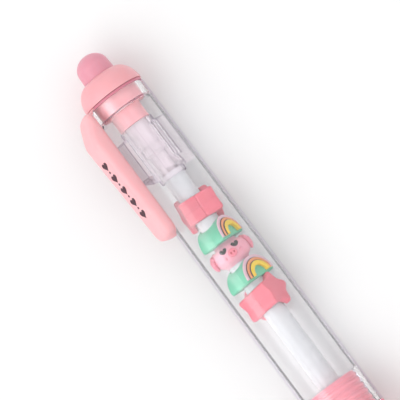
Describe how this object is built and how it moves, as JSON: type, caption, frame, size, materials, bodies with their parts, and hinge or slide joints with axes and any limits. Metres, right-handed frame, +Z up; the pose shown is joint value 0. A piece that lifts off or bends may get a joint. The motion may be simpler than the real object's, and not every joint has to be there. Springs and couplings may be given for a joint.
{
  "type": "gel pen",
  "caption": "Retractable gel pen with a clear barrel, sliding charm beads on an inner tube, a push button, a pocket clip and a ribbed screw-on grip.",
  "frame": {"origin": "on the pen's axis, 68 mm in front of the button's top, on the parallel stretch that the holder_stretch mount marks", "axes": "+X along the axis from the push button to the writing tip, +Z up with the pen lying level; the clip leans out on the -Y side, 30 degrees above level"},
  "size_m": [0.148, 0.0173, 0.0142],
  "materials": {
    "button_plastic": "satin",
    "cap_plastic": "satin",
    "clip_plastic": "satin",
    "clear_plastic": "polished",
    "frosted_plastic": "satin",
    "natural_plastic": "satin",
    "refill_plastic": "satin",
    "coral_plastic": "satin",
    "mint_plastic": "satin",
    "lilac_paint": "satin",
    "orange_paint": "satin",
    "yellow_paint": "satin",
    "pig_plastic": "satin",
    "pig_ear_plastic": "satin",
    "snout_plastic": "satin",
    "dark_paint": "satin",
    "grip_plastic": "satin",
    "grip_rubber": "matte",
    "nose_plastic": "satin",
    "spring_steel": "bright",
    "nib_steel": "bright",
    "ball_carbide": "polished",
    "gel_ink": "wet",
    "follower_grease": "wet"
  },
  "bodies": {
    "pen_body": {"barrel": "clear_plastic", "end_cap": "cap_plastic", "clip_ring": "clip_plastic", "cam_sleeve": "clear_plastic", "guide_tube": "frosted_plastic"},
    "push_button": {"push_button": "button_plastic", "plunger": "natural_plastic"},
    "refill": {"rotary_cam": "natural_plastic", "refill_plug": "natural_plastic", "refill_tube": "refill_plastic", "gel_ink": "gel_ink", "ink_follower": "follower_grease", "spring_collar": "natural_plastic", "tip_holder": "natural_plastic", "nib": "nib_steel"},
    "writing_ball": {"writing_ball": "ball_carbide"},
    "return_spring": {"return_spring": "spring_steel"},
    "front_section": {"front_section": "grip_plastic", "grip_sleeve": "grip_rubber", "nose_cone": "nose_plastic"},
    "clip_arm": {"clip_arm": "clip_plastic"},
    "star_bead_rear": {"star_bead_rear": "coral_plastic"},
    "rainbow_bead_rear": {"rainbow_bead_rear": "mint_plastic", "lilac_band_rear": "lilac_paint", "orange_band_rear": "orange_paint", "yellow_band_rear": "yellow_paint"},
    "pig_bead": {"pig_head": "pig_plastic", "pig_ears": "pig_ear_plastic", "pig_eyes": "dark_paint", "pig_snout": "snout_plastic", "pig_cheeks": "snout_plastic"},
    "rainbow_bead_front": {"rainbow_bead_front": "mint_plastic", "lilac_band_front": "lilac_paint", "orange_band_front": "orange_paint", "yellow_band_front": "yellow_paint"},
    "star_bead_front": {"star_bead_front": "coral_plastic"}
  },
  "joints": [
    {"name": "button_press", "type": "slide", "parent": "pen_body", "child": "push_button", "axis": [1, 0, 0], "range_m": [0, 0.004], "stiffness_N_per_m": 250},
    {"name": "refill_advance", "type": "slide", "parent": "pen_body", "child": "refill", "axis": [1, 0, 0], "range_m": [0, 0.004], "deforming": ["return_spring"]},
    {"name": "ball_roll", "type": "hinge", "parent": "refill", "child": "writing_ball", "pos_m": [0.0786, 0, 0], "axis": [0, 1, 0], "continuous": true},
    {"name": "front_advance", "type": "slide", "parent": "pen_body", "child": "return_spring", "axis": [1, 0, 0], "range_m": [0, 0.00762]},
    {"name": "front_unscrew", "type": "hinge", "parent": "return_spring", "child": "front_section", "pos_m": [0, 0, 0], "axis": [1, 0, 0], "range_deg": [0, 2160]},
    {"name": "clip_flex", "type": "hinge", "parent": "pen_body", "child": "clip_arm", "pos_m": [-0.0556, -0.00693, 0.004], "axis": [0, -0.5, -0.866], "range_deg": [0, 6], "stiffness_Nm_per_rad": 0.5},
    {"name": "bead_stack_slide", "type": "slide", "parent": "pen_body", "child": "star_bead_rear", "axis": [1, 0, 0], "range_m": [-0.0036, 0.0172]},
    {"name": "rear_rainbow_spin", "type": "hinge", "parent": "star_bead_rear", "child": "rainbow_bead_rear", "pos_m": [0, 0, 0], "axis": [1, 0, 0], "continuous": true},
    {"name": "pig_spin", "type": "hinge", "parent": "rainbow_bead_rear", "child": "pig_bead", "pos_m": [0, 0, 0], "axis": [1, 0, 0], "continuous": true},
    {"name": "front_rainbow_spin", "type": "hinge", "parent": "pig_bead", "child": "rainbow_bead_front", "pos_m": [0, 0, 0], "axis": [1, 0, 0], "continuous": true},
    {"name": "front_star_spin", "type": "hinge", "parent": "rainbow_bead_front", "child": "star_bead_front", "pos_m": [0, 0, 0], "axis": [1, 0, 0], "continuous": true}
  ],
  "couplings": [
    {"joint": "refill_advance", "follows": "button_press", "ratio": 1},
    {"joint": "front_advance", "follows": "front_unscrew", "m_per_rad": 0.00020213}
  ]
}
